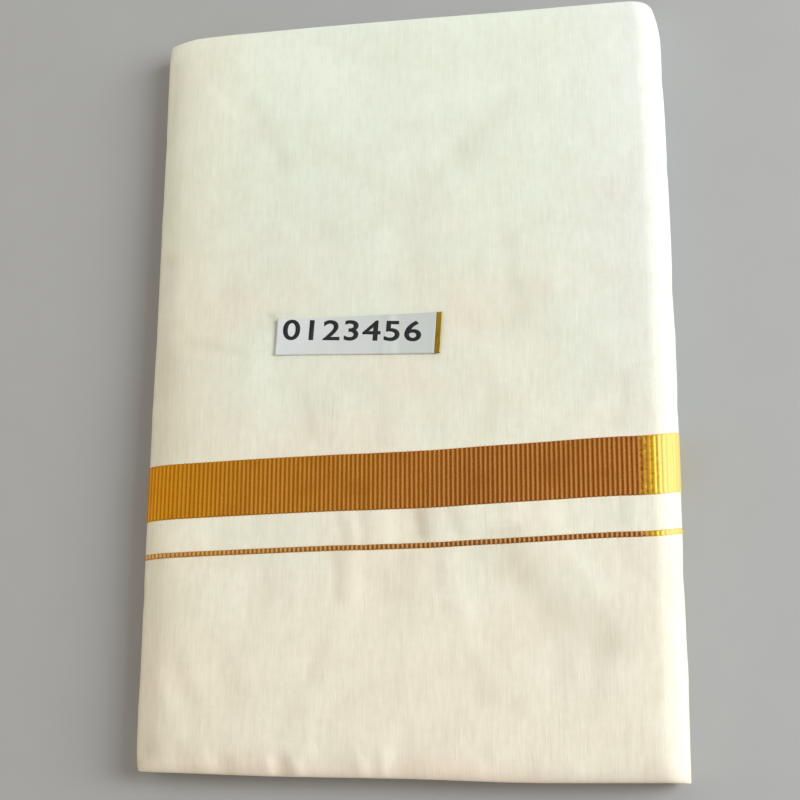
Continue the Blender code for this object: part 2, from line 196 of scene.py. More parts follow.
# Broad waves: seed, count, longest and shortest in metres, rise. Each loose layer adds 1 to the seed
FRONT_SWELL = (5, 14, 0.09, 0.03, 0.1 * MM)
SIDE_SWELL = (9, 10, 0.11, 0.03, 0.1 * MM)
LOOSE_SWELL = (3, 5, 0.16, 0.04, 0.3 * MM)

# The front's cloth is drawn along the pack by this much, most where it turns over the spine.
# The pull is full at the middle of its reach and fades to nothing at both ends
LINE_DRAG_MIDDLE = -30 * MM
LINE_DRAG_REACH = 140 * MM
LINE_DRAG_ROWS = np.array((
    # across, along
    (-120.5, 0.1), (-100, 0.35), (-60, 0.5), (-30, 0.4),
    (-10, 0), (15, -0.15), (35, 0.2), (60, 0.5),
    (86, 0.95), (94, 1), (104, 0.8), (110, 0.85),
    (116, 1.5), (120.5, 3),
)) * MM

# How finely the surfaces are divided
UNDER_STEP = 9 * MM
CLOTH_STEP = 1.8 * MM
RIBBED_STEP = 1.2 * MM
INNER_STEP = 3 * MM
LABEL_STEP = 0.9 * MM
DIGIT_STEP = 1.5 * MM
CLOTH_ROWS = 190
BAND_ROWS = 22
LINE_ROWS = 6
INNER_ROWS = 110
LABEL_ROWS = 24
CLOTH_TURN_STEPS = 14
FINE_TURN_STEPS = 24
END_STEPS = 13

# The outer strip's two ends: how round they are, and the crease between their two layers
END_ROUNDING = 0.75 * MM
END_CREASE = 0.3 * MM
END_CREASE_SHARE = 0.07

# Creases in the label's paper
LABEL_CREASE_ROWS = (
    # across in mm, lean, half width in mm, height in mm
    (14.5, 0.1, 1.6, 0.16),
    (-10.0, -0.25, 3.5, -0.12),
)
LABEL_EVEN_WIDTH = 0.99

# The digits' row on the label: where it starts, its width, the digits' height, place and slope
DIGITS_ROW = {"start": -34.6 * MM, "width": 65.6 * MM, "cap": 9.9 * MM, "along_middle": 2.3 * MM,
              "slope": -0.0437}

# The way in which the digits' points and faces are counted, the same in every run
SORT_WAY = Vector((1, 3.17, 11.3))

# Where tints begin and are full, in metres: round the pack from the lower lip's tucked end,
# or from the pack's middle towards its near end. The pink patches' place is for the cloth's own uneven tone;
# the others are for painted shade on the upper lip's side, towards the near end, on the near end's fold and
# across the middle, and for a painted highlight on the spine
UPPER_LIP_SHADE_PLACE = (0.44, 0.476)
SPINE_HIGHLIGHT_PLACE = (0.315, 0.272)
NEAR_SHADE_PLACE = (-0.07, 0.13)
PINK_PLACE = (-0.11, -0.02)
NEAR_FOLD_SHADE_PLACE = (0.168, 0.177)
MIDDLE_SHADE_PLACES = ((-0.12, 0.0), (0.15, 0.05))
YARN_PITCH = 0.42 * MM

# The same on the band, counted from its first rib on the spine
THREAD_PITCH = 0.6 * MM
# Where the band's painted light changes from its spine side to its lip side, and where the painted highlights
# on its spine roll begin and are full
LIP_SIDE_PLACE = (0.1, 0.255)
ROLL_HIGHLIGHT_PLACE = (0.0318, 0.0258)
PALE_ROLL_HIGHLIGHT_PLACE = (0.0252, 0.0216)

# The label's shaded left part, in metres from the pack's middle towards its spine
PAPER_SHADED_PLACE = (-0.052, 0.004)

# Colours as linear red, green, blue and cover
# The band's rib colours: the crests carry painted highlights and the grooves painted shade; the spine side's
# differ from the lip side's by painted light
SPINE_CREST = (0.72, 0.35, 0.115, 1)
LIP_CREST = (0.72, 0.33, 0.006, 1)
PALE_CREST = (0.8, 0.62, 0.38, 1)
SPINE_GROOVE_SHADE = (0.275, 0.078, 0.001, 1)
LIP_GROOVE_SHADE = (0.43, 0.158, 0.001, 1)
# Painted highlights on the band's spine roll
ROLL_PAINTED_HIGHLIGHT = (0.8, 0.49, 0.035, 1)
PALE_ROLL_PAINTED_HIGHLIGHT = (0.8, 0.66, 0.24, 1)
PAPER_WHITE = (0.7, 0.735, 0.765, 1)
PAPER_MARK = (0.6, 0.63, 0.65, 1)
PAPER_SHADED = (0.5, 0.54, 0.52, 1)
# Painted highlight along the label's crease
PAPER_CREASE_HIGHLIGHT = (0.7, 0.8, 0.77, 1)
PAPER_FIBRE = (0.56, 0.58, 0.58, 1)
WORLD_COLOUR = (1.0, 0.91, 0.78, 1)

LAMPS = (
    # name, place, aim, size, power, colour
    ("key", (1.9, 0.3, 1.25), (0, -0.02, 0), (1, 1.6), 44.5, (0.885, 0.955, 0.985)),
    ("spine", (1.15, -0.05, 0.42), (0.1, -0.02, 0.01), (0.25, 1), 6, (1, 0.98, 0.92)),
    ("left overhead", (-0.75, 0.3, 1.05), (0, 0, 0), (0.7, 0.7), 1.5, (1, 0.89, 0.72)),
    ("left edge", (-1, 0, 0.16), (-0.12, 0, 0.01), (0.2, 1), 1.4, (1, 0.92, 0.76)),
    ("near edge", (0, -1.15, 0.3), (0, -0.17, 0.01), (0.9, 0.2), 2.4, (1, 0.93, 0.88)),
    ("far edge", (-0.1, 1.1, 0.3), (0, 0.17, 0.01), (0.8, 0.2), 2.2, (0.97, 0.99, 1)),
)
WORLD_STRENGTH = 0.33

# The photograph's camera: place in metres, turns in degrees, focal length and width in pixels
CAMERA_PLACE = (0.1678, -0.1897, 0.6372)
CAMERA_TURNS = (15.3, 15.14, 0.16)
FOCAL_PIXELS = 1500
PHOTO_PIXELS = 800
SENSOR_MM = 36


def smooth_table(spots, places, values):
    """Smooth curve through a table, without overshoot between its rows."""
    steps = np.diff(places)
    slopes = np.diff(values) / steps
    tangents = np.zeros(len(places))
    same = slopes[:-1] * slopes[1:] > 0
    tangents[1:-1][same] = 2 * (slopes[:-1] * slopes[1:])[same] / (slopes[:-1] + slopes[1:])[same]
    tangents[0], tangents[-1] = slopes[0], slopes[-1]
    spots = np.clip(spots, places[0], places[-1])
    row = np.clip(np.searchsorted(places, spots, side="right") - 1, 0, len(steps) - 1)
    share = (spots - places[row]) / steps[row]
    low, high = values[row], values[row + 1]
    bend = tangents[row] * share * (1 - share) ** 2 - tangents[row + 1] * share ** 2 * (1 - share)
    return low * (1 + 2 * share) * (1 - share) ** 2 + high * share ** 2 * (3 - 2 * share) + steps[row] * bend


def thickness_at(along):
    """Thickness of the pack at places along its length."""
    return smooth_table(along, THICKNESS_ROWS[:, 0], THICKNESS_ROWS[:, 1])


def placed(across, along, height):
    """Points of the square pack, moved to the pack's real, slightly skewed outline."""
    far_shift, near_shift = (smooth_table(across, END_SHIFT_ROWS[:, 0], END_SHIFT_ROWS[:, column])
                             for column in (1, 2))
    far_share = np.maximum(0, (along - BAND_FAR) / (HALF_LENGTH - BAND_FAR))
    near_share = np.maximum(0, (LINE_NEAR - along) / (HALF_LENGTH + LINE_NEAR))
    spine = smooth_table(along, THICKNESS_ROWS[:, 0], THICKNESS_ROWS[:, 2]) * np.maximum(across, 0) / RIGHT
    along = along + far_share * far_shift + near_share * near_shift
    return np.stack((across + spine, along, height), axis=-1)


def fold_relief(across, along, rows):
    """Height and painted shade of soft folds, each a bell-shaped trough or ridge along its own line."""
    height = np.zeros(np.broadcast(across, along).shape)
    shade = height.copy()
    for from_x, from_y, to_x, to_y, half_width, rise, dark in rows:
        run_x, run_y = to_x - from_x, to_y - from_y
        off_x, off_y = across / MM - from_x, along / MM - from_y
        share = np.clip((off_x * run_x + off_y * run_y) / (run_x ** 2 + run_y ** 2), 0, 1)
        distance = np.hypot(off_x - share * run_x, off_y - share * run_y)
        bell = np.exp(-(distance / half_width) ** 2)
        height += rise * MM * bell
        shade += dark * bell
    return height, shade


def swell(across, along, seed, count, longest, shortest, rise):
    """Broad uneven waves, the same each time for the same seed."""
    chance = np.random.default_rng(seed)
    height = 0
    for _ in range(count):
        wave = 2 * math.pi / chance.uniform(shortest, longest)
        way, start = chance.uniform(0, math.pi), chance.uniform(0, 2 * math.pi)
        height = height + np.cos(wave * (across * math.cos(way) + along * math.sin(way)) + start)
    return height * rise / math.sqrt(count)


def front_relief(across, along):
    """Height of everything that makes the front uneven."""
    return fold_relief(across, along, FRONT_FOLD_ROWS)[0] + swell(across, along, *FRONT_SWELL)


def rounded(centre, half_width, half_height, first, last, steps):
    """Part of an ellipse between two angles in degrees: its points and its outward directions."""
    angles = np.radians(np.linspace(first, last, steps + 1))
    across = centre[0] + half_width * np.cos(angles) + 0 * half_height
    height = centre[1] + half_height * np.sin(angles)
    out_x, out_z = np.cos(angles) / half_width + 0 * half_height, np.sin(angles) / half_height
    size = np.hypot(out_x, out_z)
    return across, height, out_x / size, out_z / size


def wrap(depth, thickness, under_columns, front_columns, steps):
    """The outer strip's line round the pack at a depth under its surface, one row for each thickness.

    It runs from the lower lip's tucked end along the underside, round the spine and over
    the front to the upper lip's tucked end. Gives across, height, and the way out in both.
    """
    thickness, depth = np.reshape(thickness, (-1, 1)), np.reshape(depth, (-1, 1))
    quarter = thickness / 4

    def level(columns, height, way):
        flat = 0 * thickness + np.reshape(columns, (1, -1))
        return flat, 0 * flat + height, 0 * flat, 0 * flat + way

    def turn(centre_x, centre_z, half_width, half_height, first, last, turn_steps=steps):
        return rounded((centre_x, centre_z), half_width - depth, half_height - depth, first, last, turn_steps)

    tuck = turn(LEFT + UPPER_TUCK, 3 * quarter, UPPER_TUCK, quarter, 180, 270)
    pieces = [
        turn(LIP_CENTRE, thickness / 8, LOWER_LIP_DEPTH, thickness / 8, 90, 270),
        level(under_columns, depth, -1),
        turn(RIGHT - SPINE_DEPTH, thickness / 2, SPINE_DEPTH, thickness / 2, -90, 90, 2 * steps),
        level(front_columns[::-1], thickness - depth, 1),
        turn(LEFT + SHOULDER_WIDTH, 3 * quarter, SHOULDER_WIDTH, quarter, 90, 180),
        [values[:, 1:] for values in tuck],
    ]
    return [np.concatenate([piece[index] for piece in pieces], axis=1) for index in range(4)]


def cloth_surface(along, depth, under_columns, front_columns, steps, lift=0.0):
    """Points and painted shade of the outer strip for rows of places along the pack, folds included."""
    along, depth = np.asarray(along, float), np.broadcast_to(depth, np.shape(along)).astype(float)
    thickness = np.reshape(thickness_at(along), (-1, 1))
    across, height, out_x, out_z = wrap(depth, thickness, under_columns, front_columns, steps)
    rows = np.reshape(along, (-1, 1)) + 0 * across
    path = wrap(np.zeros(1), np.array([FULL_THICKNESS]), under_columns, front_columns, steps)
    path = path_lengths(np.stack((path[0][0], path[1][0]), axis=1))[None, :] + 0 * across
    upper = height > thickness / 2
    on_front = np.clip((out_z - 0.1) / 0.75, 0, 1)
    on_front = on_front * on_front * (3 - 2 * on_front) * upper
    on_side = np.clip(1.15 - np.abs(out_z), 0, 1) * (height > 0.2 * thickness)
    firmness = np.interp(rows, FOLD_FIRMNESS[:, 0], FOLD_FIRMNESS[:, 1])
    front_rise, front_shade = (firmness * values for values in fold_relief(across, rows, FRONT_FOLD_ROWS))
    side_rise, side_shade = fold_relief(path, rows, SIDE_FOLD_ROWS)
    drag = smooth_table(across, LINE_DRAG_ROWS[:, 0], LINE_DRAG_ROWS[:, 1])
    rows = rows + drag * np.clip(1 - ((rows - LINE_DRAG_MIDDLE) / LINE_DRAG_REACH) ** 2, 0, 1)
    front_rise = front_rise + swell(across, rows, *FRONT_SWELL)
    side_rise = side_rise + swell(path, rows, *SIDE_SWELL)
    relief = (front_rise * on_front + side_rise * on_side) * (1 - np.reshape(depth, (-1, 1)) / WALL) + lift
    shade = front_shade * on_front + side_shade * on_side
    return placed(across + out_x * relief, rows, height + out_z * relief), shade


def between(first, last, step):
    """Even places strictly between two ends."""
    return np.linspace(first, last, round((last - first) / step) + 1)[1:-1]


def columns_for(under_step, front_step):
    """The places of the columns on the underside and on the front."""
    under = between(LIP_CENTRE, RIGHT - SPINE_DEPTH, under_step)
    return under, between(LEFT + SHOULDER_WIDTH, RIGHT - SPINE_DEPTH, front_step)


def path_lengths(points):
    """Distance travelled along a row of points."""
    return np.concatenate(([0.0], np.cumsum(np.linalg.norm(np.diff(points, axis=0), axis=1))))


def lofted(name, grid, uvs=None, attributes=None):
    """A closed object over a grid of points whose first axis runs round and second runs along."""
    rows, columns = grid.shape[:2]
    here = np.arange(rows * columns).reshape(rows, columns)
    after = np.roll(here, -1, axis=0)
    faces = np.stack((here[:, :-1], here[:, 1:], after[:, 1:], after[:, :-1]), axis=-1)
    faces = faces.reshape(-1, 4).tolist()
    for column in (0, columns - 1):
        ring = here[:, column].tolist()
        faces += [(ring[index], ring[index + 1], ring[rows - 2 - index], ring[rows - 1 - index])
                  for index in range(rows // 2 - 1)]
    mesh = bpy.data.meshes.new(name)
    mesh.from_pydata(grid.reshape(-1, 3).tolist(), [], faces)
    if uvs is not None:
        layer = mesh.uv_layers.new(name="cloth")
        corners = np.zeros(len(mesh.loops), dtype=np.int64)
        mesh.loops.foreach_get("vertex_index", corners)
        layer.data.foreach_set("uv", uvs.reshape(-1, 2)[corners].astype(np.float32).ravel())
    for title, values in (attributes or {}).items():
        attribute = mesh.attributes.new(title, "FLOAT", "POINT")
        attribute.data.foreach_set("value", values.astype(np.float32).ravel())
    return tidy_object(name, mesh)


def linked(name, data):
    """A new object in the scene."""
    holder = bpy.data.objects.new(name, data)
    bpy.context.scene.collection.objects.link(holder)
    return holder


def plain_mesh(holder):
    """The mesh that an object's curve or modifiers give."""
    bpy.context.view_layer.update()
    return bpy.data.meshes.new_from_object(holder.evaluated_get(bpy.context.evaluated_depsgraph_get()))


def tidy_object(name, mesh):
    """Links a mesh as an object, with its faces outwards and smooth."""
    shape = bmesh.new()
    shape.from_mesh(mesh)
    bmesh.ops.recalc_face_normals(shape, faces=shape.faces)
    for face in shape.faces:
        face.smooth = True
    shape.to_mesh(mesh)
    shape.free()
    return linked(name, mesh)


def loop_setback(share):
    """How far the folded edge of one strip stays back over its height: two cloth loops."""
    inner = np.abs(np.mod(share * 2, 1.0) * 2 - 1)
    round_loop = STRIP_LOOP * (1 - np.sqrt(np.clip(1 - inner ** 2, 0, 1)))
    edge = np.minimum(share, 1 - share)
    return round_loop + (STRIP_GROOVE - STRIP_LOOP) * np.exp(-(edge / GROOVE_WIDTH_SHARE) ** 2)


class Wire:
    """One output in a node tree. Sums with it add Math nodes."""

    def __init__(self, nodes, socket):
        self.nodes, self.socket = nodes, socket

    def maths(self, operation, *values):
        return self.nodes.add("ShaderNodeMath", {"operation": operation}, dict(enumerate(values)))

    def other(self, output):
        """Another output of the same node."""
        return Wire(self.nodes, self.socket.node.outputs[output])

    def __add__(self, value):
        return self.maths("ADD", self, value)

    def __sub__(self, value):
        return self.maths("SUBTRACT", self, value)

    def __rsub__(self, value):
        return self.maths("SUBTRACT", value, self)

    def __mul__(self, value):
        return self.maths("MULTIPLY", self, value)

    def __truediv__(self, value):
        return self.maths("DIVIDE", self, value)

    def __pow__(self, value):
        return self.maths("POWER", self, value)

    __radd__, __rmul__ = __add__, __mul__

    def sine(self):
        return self.maths("SINE", self)

    def size(self):
        return self.maths("ABSOLUTE", self)

    def between(self, low, high):
        """0 at low and before it, 1 at high and beyond it, and even between them."""
        return self.nodes.add("ShaderNodeMapRange", {"clamp": True},
                              {"Value": self, "From Min": low, "From Max": high})


class Nodes:
    """A node tree while it is wired."""

    def __init__(self, tree):
        self.tree = tree

    def add(self, kind, settings=None, sockets=None, output=0):
        """Adds a node of a kind with its settings and its sockets' values or wires."""
        node = self.tree.nodes.new(kind)
        for name, value in (settings or {}).items():
            setattr(node, name, value)
        for key, value in (sockets or {}).items():
            if isinstance(value, Wire):
                self.tree.links.new(value.socket, node.inputs[key])
            else:
                node.inputs[key].default_value = value
        return Wire(self, node.outputs[output]) if node.outputs else node

    def blend(self, factor, first, second):
        """The first colour at factor 0, the second at 1."""
        return self.add("ShaderNodeMix", {"data_type": "RGBA"}, {0: factor, 6: first, 7: second}, output=2)

    def noise(self, where, scale, detail=3.0):
        """Noise from 0 to 1 with its own scale in each direction, per metre."""
        stretched = self.add("ShaderNodeMapping", {}, {"Vector": where, "Scale": scale})
        return self.add("ShaderNodeTexNoise", {}, {"Vector": stretched, "Scale": 1.0, "Detail": detail})

    def bump(self, height, strength, distance):
        """A surface roughened by a height."""
        return self.add("ShaderNodeBump", {}, {"Height": height, "Strength": strength, "Distance": distance})

    def cloth_place(self):
        """Metres round the pack and metres along it, together and each on its own."""
        where = self.add("ShaderNodeTexCoord", output="UV")
        parts = self.add("ShaderNodeSeparateXYZ", {}, {0: where})
        return where, parts, parts.other(1)


def finish(name, **values):
    """A material with set values on its shader, and its nodes ready to be wired."""
    material = bpy.data.materials.new(name)
    material.use_nodes = True
    nodes = Nodes(material.node_tree)
    shader = material.node_tree.nodes["Principled BSDF"]
    for key, value in values.items():
        shader.inputs[key.replace("_", " ")].default_value = value
    return material, nodes, shader


def feed(nodes, shader, **wires):
    """Wires what varies over the surface into the shader."""
    for key, wire in wires.items():
        nodes.tree.links.new(wire.socket, shader.inputs[key.replace("_", " ")])


def toned(colour, *shares):
    """A colour whose red, green and blue are each multiplied by a share."""
    return tuple(value * share for value, share in zip(colour, shares)) + (1.0,)


def cotton_finish(name, far_lit_tint, near_shaded_tint):
    """Fine handwoven cotton: plain weave, uneven yarns, slubs, and painted shade, warmer and darker towards
    the near end.
    """
    material, nodes, shader = finish(name, Sheen_Weight=0.2, Sheen_Roughness=0.45, Specular_IOR_Level=0.25)
    where, round_pack, along = nodes.cloth_place()
    towards_near = along * -1
    # Painted shade in the folds, from the cloth's shade attribute
    fold_shade = nodes.add("ShaderNodeAttribute", {"attribute_name": "shade"}, {}, output="Fac")
    yarns = nodes.noise(where, (1250, 80, 1), 2.0)
    broad_yarns = nodes.noise(where, (430, 34, 1), 2.0)
    cross_yarns = nodes.noise(where, (120, 820, 1), 2.0)
    mottle = nodes.noise(where, (330, 190, 1))
    patches = nodes.noise(where, (95, 64, 1))
    slubs = nodes.noise(where, (1000, 130, 1), 1.0).between(0.64, 0.8)
    tint = nodes.noise(where, (11, 8, 1))
    green, pink = nodes.noise(where, (19, 15, 1)), nodes.noise(where, (15, 21, 1))
    cloud = nodes.noise(where, (42, 34, 1))
    weave = (round_pack * (math.pi / YARN_PITCH)).sine() * (along * (math.pi / YARN_PITCH)).sine() * 0.5 + 0.5
    streak = yarns * 0.38 + broad_yarns * 0.24 + cross_yarns * 0.1 + mottle * 0.28
    # Painted shade: the colour turns warmer and darker from the far tint to the near tint, as the light falls
    # off towards the near end
    near = (towards_near + (tint - 0.5) * 0.16).between(*NEAR_SHADE_PLACE)
    pink_place = towards_near.between(*PINK_PLACE)
    # Painted shade on the near end's fold: pinkish and darker along its last few millimetres
    near_fold_shade = (towards_near + (tint - 0.5) * 0.03).between(*NEAR_FOLD_SHADE_PLACE)
    colour = nodes.blend(near, far_lit_tint, near_shaded_tint)
    for factor, tinted in (
        (green.between(0.42, 0.66) * (0.6 - near * 0.4), toned(far_lit_tint, 0.965, 1.005, 0.975)),
        (pink.between(0.46, 0.7) * pink_place * 0.6, toned(near_shaded_tint, 1.015, 0.965, 0.965)),
        (near_fold_shade * 0.8, toned(near_shaded_tint, 1.03, 0.945, 0.95)),
        # Painted shade on the left margin and the upper lip: darker and yellower
        (round_pack.between(*UPPER_LIP_SHADE_PLACE) * 0.38, toned(near_shaded_tint, 0.985, 0.965, 0.9)),
        # Painted highlight: paler and cooler towards the right side and on the spine roll
        (round_pack.between(*SPINE_HIGHLIGHT_PLACE) * (0.8 - near * 0.75), toned(far_lit_tint, 1.02, 1.005, 1.08)),
    ):
        colour = nodes.blend(factor, colour, tinted)
    # Painted shade across the middle of the pack's length
    middle = along.between(*MIDDLE_SHADE_PLACES[0]) * along.between(*MIDDLE_SHADE_PLACES[1])
    # Darkening towards a deep warm colour: the yarns' uneven tone, together with painted shade in the folds
    # and across the middle
    yarn_tone_and_painted_shade = (0.5 - streak) * (0.49 + near * 0.21) + (0.5 - cloud) * 0.17 + (0.5 - patches) * 0.16
    yarn_tone_and_painted_shade = yarn_tone_and_painted_shade + (0.5 - weave) * 0.02 - slubs * 0.03 + fold_shade * (0.5 + 1.6 * mottle) + middle * 0.06
    colour = nodes.blend((yarn_tone_and_painted_shade + 0.08).between(0.0, 1.0), colour, toned(near_shaded_tint, 0.42, 0.33, 0.22))
    bump = nodes.bump(weave * 0.12 + streak * 0.8 + slubs * 0.4, 0.5, 0.22 * MM)
    feed(nodes, shader, Base_Color=colour, Roughness=0.78 + 0.14 * streak, Normal=bump)
    return material


def zari_finish(name, fade=0.0):
    """Woven metallic thread with fine cross threads; painted highlights on its thin rib crests and painted
    shade in its brown grooves.
    """
    material, nodes, shader = finish(name, Metallic=0.8, Specular_IOR_Level=0.4)
    where, round_pack, along = nodes.cloth_place()
    threads = (along * (2 * math.pi / THREAD_PITCH)).sine() * 0.5 + 0.5
    sparkle = nodes.noise(where, (1500, 1700, 1), 2.0)
    each_rib = nodes.noise(where, (1 / RIB_PITCH, 24, 1), 1.0)
    wear = nodes.noise(where, (55, 70, 1))
    frayed = nodes.noise(where, (420, 520, 1))
    # Painted light across the band: towards the spine its grooves are darker and its crests browner
    lip_side = round_pack.between(*LIP_SIDE_PLACE)
    # Painted highlight on the spine roll, yellow, and paler still where it turns furthest
    roll = (round_pack + (frayed - 0.5) * 0.012).between(*ROLL_HIGHLIGHT_PLACE)
    pale_roll_highlight = (round_pack + (frayed - 0.5) * 0.009).between(*PALE_ROLL_HIGHLIGHT_PLACE)
    # Painted highlight along each rib's crest and painted shade in the grooves between; the bright crests are
    # narrower on the spine side
    rib = (round_pack * (math.pi / RIB_PITCH)).sine().size() ** (5.0 - lip_side * 3.8)
    shine = (rib * (0.65 + 0.9 * each_rib) + (sparkle - 0.5) * 1.1).between(0.05, 0.95)
    crest = nodes.blend(lip_side, SPINE_CREST, LIP_CREST)
    crest = nodes.blend(fade, crest, PALE_CREST) if fade else crest
    groove_shade = nodes.blend(lip_side, SPINE_GROOVE_SHADE, LIP_GROOVE_SHADE)
    colour = nodes.blend(shine, groove_shade, crest)
    colour = nodes.blend(wear.between(0.5, 0.75) * 0.3, colour, groove_shade)
    colour = nodes.blend(roll * (0.6 + 0.6 * sparkle), colour, ROLL_PAINTED_HIGHLIGHT)
    colour = nodes.blend(pale_roll_highlight, colour, PALE_ROLL_PAINTED_HIGHLIGHT)
    bump = nodes.bump(threads * 0.3 + sparkle * 0.6, 0.5, 0.1 * MM)
    feed(nodes, shader, Base_Color=colour, Roughness=0.38 + 0.2 * sparkle + 0.3 * pale_roll_highlight, Normal=bump)
    return material


def paper_finish(name):
    """Smooth white label paper with faint fibres and handling marks, painted shade over part of it and a
    painted highlight along a crease.
    """
    material, nodes, shader = finish(name, Specular_IOR_Level=0.4)
    where = nodes.add("ShaderNodeTexCoord", output="Object")
    fibres = nodes.noise(where, (900, 2200, 900))
    marks = nodes.noise(where, (45, 60, 45))
    across = nodes.add("ShaderNodeSeparateXYZ", {}, {0: where})
    # Painted highlight along a crease in the paper
    crease_highlight = (across - LABEL_CREASE + (marks - 0.5) * 4 * MM).size().between(2.5 * MM, 0.3 * MM)
    colour = nodes.blend(marks.between(0.4, 0.7) * 0.4, PAPER_WHITE, PAPER_MARK)
    colour = nodes.blend(across.between(*PAPER_SHADED_PLACE) * 0.55, colour, PAPER_SHADED)
    colour = nodes.blend(crease_highlight * 0.45, colour, PAPER_CREASE_HIGHLIGHT)
    colour = nodes.blend(fibres.between(0.45, 0.75) * 0.25, colour, PAPER_FIBRE)
    bump = nodes.bump(fibres, 0.25, 0.08 * MM)
    feed(nodes, shader, Base_Color=colour, Roughness=0.5 + 0.15 * marks, Normal=bump)
    return material


def ink_finish(name):
    """Black print with slightly uneven cover."""
    material, nodes, shader = finish(name, Specular_IOR_Level=0.3)
    where = nodes.add("ShaderNodeTexCoord", output="Object")
    cover = nodes.noise(where, (1500, 1500, 1500), 2.0)
    colour = nodes.blend(cover.between(0.5, 0.8) * 0.5, (0.012, 0.014, 0.018, 1), (0.04, 0.045, 0.055, 1))
    feed(nodes, shader, Base_Color=colour, Roughness=0.55 + 0.15 * cover)
    return material


def foil_finish(name):
    """Dull gold foil, rubbed lighter in places."""
    material, nodes, shader = finish(name, Metallic=0.75)
    where = nodes.add("ShaderNodeTexCoord", output="Object")
    rubbed = nodes.noise(where, (700, 260, 700))
    colour = nodes.blend(rubbed.between(0.35, 0.75), (0.27, 0.185, 0.01, 1), (0.42, 0.29, 0.022, 1))
    bump = nodes.bump(rubbed, 0.3, 0.1 * MM)
    feed(nodes, shader, Base_Color=colour, Roughness=0.32 + 0.2 * rubbed, Normal=bump)
    return material


def floor_finish(name):
    """Plain pale studio floor."""
    material, nodes, shader = finish(name, Specular_IOR_Level=0.1)
    where = nodes.add("ShaderNodeTexCoord", output="Object")
    grain = nodes.noise(where, (40, 40, 40), 2.0)
    colour = nodes.blend(grain, (0.405, 0.41, 0.42, 1), (0.425, 0.43, 0.44, 1))
    feed(nodes, shader, Base_Color=colour, Roughness=0.85 + 0.05 * grain)
    return material


def outer_cloth():
    """The outermost strip, all round the pack, as one thin closed shell."""
    under, front = columns_for(UNDER_STEP, CLOTH_STEP)
    shares = np.linspace(0.04, 0.96, END_STEPS)
    ends = (END_ROUNDING * (1 - np.sqrt(1 - (2 * shares - 1) ** 2))
            + END_CREASE * np.exp(-((shares - 0.5) / END_CREASE_SHARE) ** 2))
    clear = HALF_LENGTH - END_ROUNDING
    outer_rows = np.linspace(-clear, clear, CLOTH_ROWS)
    inner_rows = outer_rows[::-1]
    along = np.concatenate((outer_rows, HALF_LENGTH - ends, inner_rows, -(HALF_LENGTH - ends[::-1])))
    depth = np.concatenate((0 * outer_rows, shares * WALL, 0 * inner_rows + WALL, shares[::-1] * WALL))
    grid, shade = cloth_surface(along, depth, under, front, CLOTH_TURN_STEPS)
    travelled = path_lengths(grid[len(outer_rows) // 2])
    uvs = np.stack((np.broadcast_to(travelled, grid.shape[:2]),
                    np.broadcast_to(along[:, None], grid.shape[:2])), axis=-1)
    grid, uvs, shade = (np.roll(values, len(shares), axis=0) for values in (grid, uvs, shade))
    return lofted("outer_cloth", grid, uvs, attributes={"shade": shade}), travelled[-1]


def left_side(height, thickness, along):
    """Across places of the hidden layers' left side at given heights."""
    depth = WALL + GAP

    def bowed(centre, width, middle, half_height):
        bow = np.sqrt(np.clip(1 - ((height - middle) / (half_height - depth)) ** 2, 0, 1))
        return centre - (width - depth) * bow

    lower = bowed(LIP_CENTRE, LOWER_LIP_DEPTH, thickness / 8, thickness / 8)
    shoulder = bowed(LEFT + SHOULDER_WIDTH, SHOULDER_WIDTH, 0.75 * thickness, thickness / 4)
    tuck = bowed(LEFT + UPPER_TUCK, UPPER_TUCK, 0.75 * thickness, thickness / 4)
    bottom, top = thickness / 4 + GAP, thickness / 2 - GAP
    share = (height - bottom) / (top - bottom)
    loose = LEFT + GAP_DEPTH + 0 * height
    for index, (low, high, setback, edges) in enumerate(LOOSE_LAYERS):
        spot = (share - low) / (high - low)
        inside = (spot > 0) & (spot < 1)
        round_edge = 1 - np.sqrt(np.clip(1 - np.abs(2 * spot - 1) ** 4, 0, 1))
        ripple = LOOSE_RIPPLE * np.abs(np.cos(math.pi * edges * spot))
        drift = swell(0 * along, along, LOOSE_SWELL[0] + index, *LOOSE_SWELL[1:])
        loose = np.where(inside, LEFT + setback * MM + drift + LOOSE_ROUNDING * round_edge + ripple, loose)
    side = np.where(height < thickness / 4 - depth, lower, LIP_CENTRE + 2 * GAP)
    side = np.where((share > 0) & (share < 1), loose, side)
    side = np.where(share >= 1, LEFT + UPPER_TUCK + GAP, side)
    side = np.where(height > thickness / 2 + depth, tuck, side)
    return np.where(height > 0.75 * thickness, shoulder, side)


def strip_rows(along, level, strip=None, end=None):
    """Lines round the hidden strips: one for each place along the pack and level from outside in.

    At an end of the pack, each strip's own edge also waves a little.
    """
    depth = WALL + GAP
    columns = between(LEFT + SHOULDER_WIDTH, RIGHT - SPINE_DEPTH, INNER_STEP)
    thickness = thickness_at(along)
    low = depth + level * (thickness / 2 - depth)
    high = thickness - low
    starts = [left_side(height, thickness, along)[:, None] for height in (low, high)]
    angles = np.radians(np.linspace(-90, 90, FINE_TURN_STEPS + 1))
    spine_x = RIGHT - SPINE_DEPTH + (SPINE_DEPTH - depth) * np.outer(1 - level, np.cos(angles))
    spine_z = (thickness / 2)[:, None] + np.outer((high - low) / 2, np.sin(angles))
    flat = np.ones((len(along), 1)) * columns
    across = np.concatenate((starts[0], flat, spine_x, flat[:, ::-1], starts[1]), axis=1)
    below, above = low[:, None] + 0 * flat, high[:, None] + 0 * flat
    height = np.concatenate((low[:, None], below, spine_z, above, high[:, None]), axis=1)
    rows = along[:, None] + 0 * across
    if strip is not None:
        strip = strip[:, None]
        shift = (0.35 * np.sin(across * (40 + 9 * strip) + strip * 2.1 + end)
                 + 0.25 * np.sin(across * (95 - 7 * strip) + strip * 4.4))
        rows = rows - end * shift * MM
    return placed(across, rows, height)


